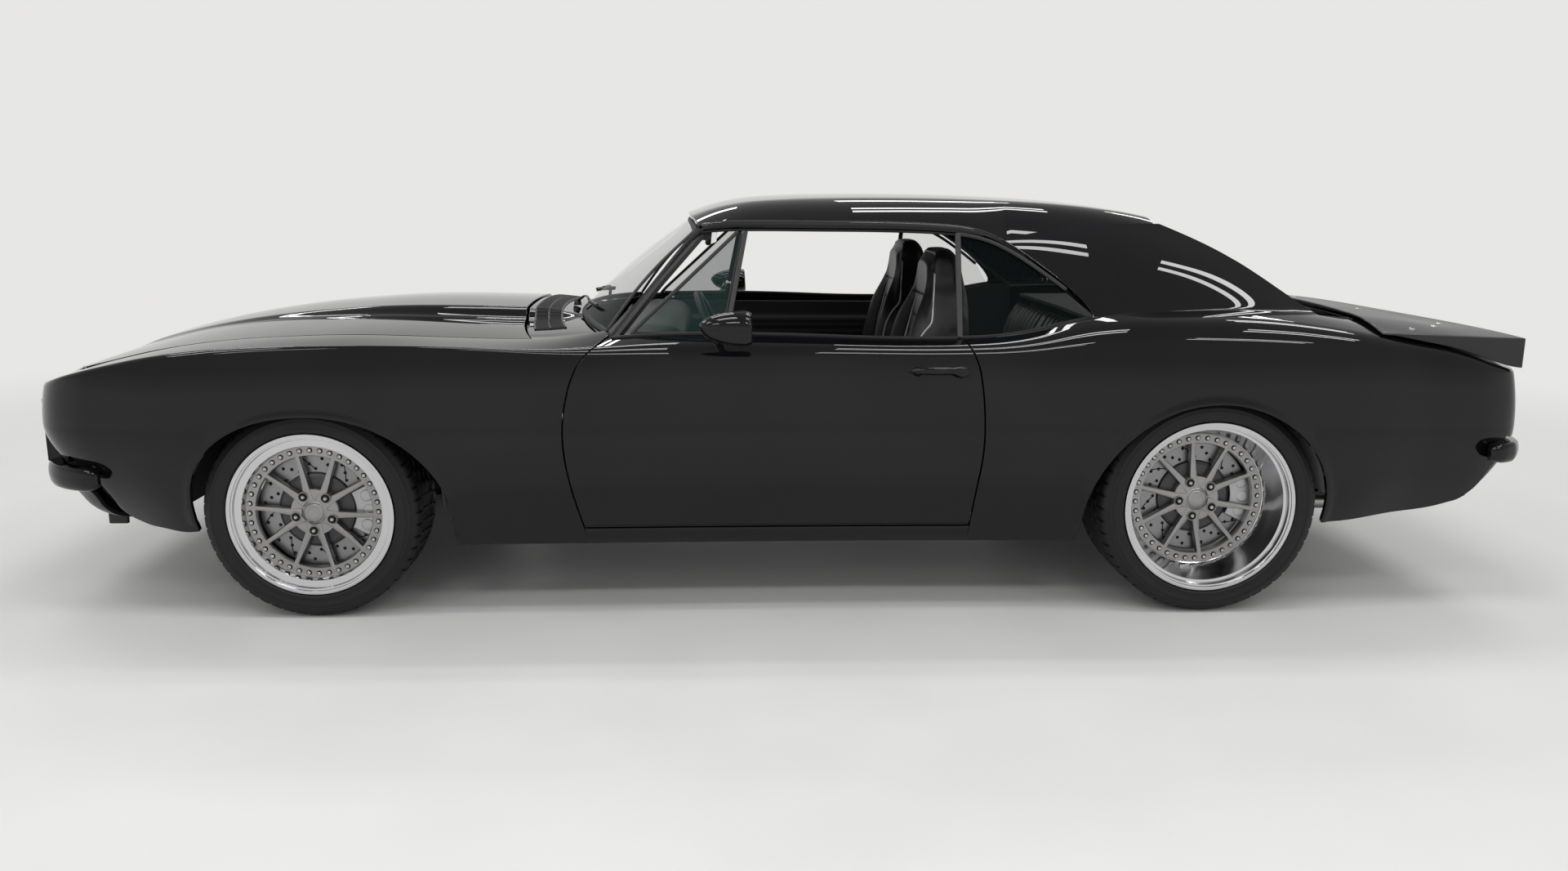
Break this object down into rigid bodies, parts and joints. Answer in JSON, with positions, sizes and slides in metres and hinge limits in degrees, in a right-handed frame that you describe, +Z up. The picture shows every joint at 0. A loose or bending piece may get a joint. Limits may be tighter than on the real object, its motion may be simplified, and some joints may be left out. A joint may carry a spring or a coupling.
{
  "type": "two-door hardtop muscle car",
  "caption": "Low two-door hardtop car with long hood, raised hood centre, ducktail spoiler, bucket seats, opening doors, hood and trunk lid, and steered front wheels.",
  "frame": {"origin": "on the floor under the middle of the car's length and width", "axes": "+X forward, +Y to the car's left, +Z up"},
  "size_m": [4.705, 2.07, 1.2859],
  "materials": {
    "body_paint": "gloss",
    "chassis_black": "satin",
    "black_trim": "satin",
    "window_glass": "clear, lightly tinted",
    "lamp_glass": "clear",
    "tail_lamp": "gloss",
    "wheel_metal": "brushed with polished lip",
    "brake_metal": "satin silver",
    "tyre": "matt",
    "seat_leather": "soft sheen",
    "interior_plastic": "grained",
    "exhaust_steel": "satin",
    "engine_iron": "painted"
  },
  "bodies": {
    "body": {"floor_pan": "chassis_black", "frame_rails": "chassis_black", "engine_block": "engine_iron", "driveline": "chassis_black", "exhaust": "exhaust_steel", "firewall": "chassis_black", "cowl_panel": "body_paint", "fender_left": "body_paint", "fender_right": "body_paint", "quarter_panel_left": "body_paint", "quarter_panel_right": "body_paint", "rocker_panels": "body_paint", "roof": "body_paint", "windshield_frame": "body_paint", "windshield": "window_glass", "rear_window": "window_glass", "quarter_windows": "window_glass", "header_panel": "body_paint", "grille": "black_trim", "headlamps": "lamp_glass", "front_bumper": "body_paint", "front_valance": "black_trim", "tail_panel": "body_paint", "tail_lamps": "tail_lamp", "rear_bumper": "body_paint", "rear_valance": "black_trim", "dashboard": "interior_plastic", "steering_wheel": "interior_plastic", "bucket_seat_left": "seat_leather", "bucket_seat_right": "seat_leather", "rear_bench": "seat_leather", "rear_axle": "chassis_black", "front_suspension": "chassis_black", "fuel_tank": "chassis_black", "wipers": "black_trim", "deck_filler": "body_paint", "inner_fenders": "chassis_black", "radiator_support": "chassis_black"},
    "hood": {"hood": "body_paint"},
    "trunk_lid": {"trunk_lid": "body_paint", "spoiler": "body_paint"},
    "door_left": {"door_left": "body_paint", "vent_window_left": "window_glass", "mirror_left": "body_paint"},
    "door_right": {"door_right": "body_paint", "vent_window_right": "window_glass", "mirror_right": "body_paint"},
    "knuckle_left": {"knuckle_left": "brake_metal"},
    "knuckle_right": {"knuckle_right": "brake_metal"},
    "wheel_front_left": {"tyre_front_left": "tyre", "rim_front_left": "wheel_metal"},
    "wheel_front_right": {"tyre_front_right": "tyre", "rim_front_right": "wheel_metal"},
    "wheel_rear_left": {"tyre_rear_left": "tyre", "rim_rear_left": "wheel_metal"},
    "wheel_rear_right": {"tyre_rear_right": "tyre", "rim_rear_right": "wheel_metal"}
  },
  "joints": [
    {"name": "steer_left", "type": "hinge", "parent": "body", "child": "knuckle_left", "pos_m": [1.417, 0.735, 0.324], "axis": [0, 0, 1], "range_deg": [-30, 30]},
    {"name": "steer_right", "type": "hinge", "parent": "body", "child": "knuckle_right", "pos_m": [1.417, -0.735, 0.324], "axis": [0, 0, 1], "range_deg": [-30, 30]},
    {"name": "spin_front_left", "type": "hinge", "parent": "knuckle_left", "child": "wheel_front_left", "pos_m": [1.417, 0, 0.324], "axis": [0, 1, 0], "continuous": true},
    {"name": "spin_front_right", "type": "hinge", "parent": "knuckle_right", "child": "wheel_front_right", "pos_m": [1.417, 0, 0.324], "axis": [0, 1, 0], "continuous": true},
    {"name": "spin_rear_left", "type": "hinge", "parent": "body", "child": "wheel_rear_left", "pos_m": [-1.329, 0, 0.34], "axis": [0, 1, 0], "continuous": true},
    {"name": "spin_rear_right", "type": "hinge", "parent": "body", "child": "wheel_rear_right", "pos_m": [-1.329, 0, 0.34], "axis": [0, 1, 0], "continuous": true},
    {"name": "door_left_hinge", "type": "hinge", "parent": "body", "child": "door_left", "pos_m": [0.554, 0.88, 0.598], "axis": [0, 0, -1], "range_deg": [0, 65]},
    {"name": "door_right_hinge", "type": "hinge", "parent": "body", "child": "door_right", "pos_m": [0.554, -0.88, 0.598], "axis": [0, 0, 1], "range_deg": [0, 65]},
    {"name": "hood_hinge", "type": "hinge", "parent": "body", "child": "hood", "pos_m": [0.762, 0, 0.912], "axis": [0, -1, 0], "range_deg": [0, 50]},
    {"name": "trunk_hinge", "type": "hinge", "parent": "body", "child": "trunk_lid", "pos_m": [-1.838, 0, 0.916], "axis": [0, 1, 0], "range_deg": [0, 70]}
  ],
  "couplings": [
    {"joint": "steer_right", "follows": "steer_left", "ratio": 1}
  ]
}
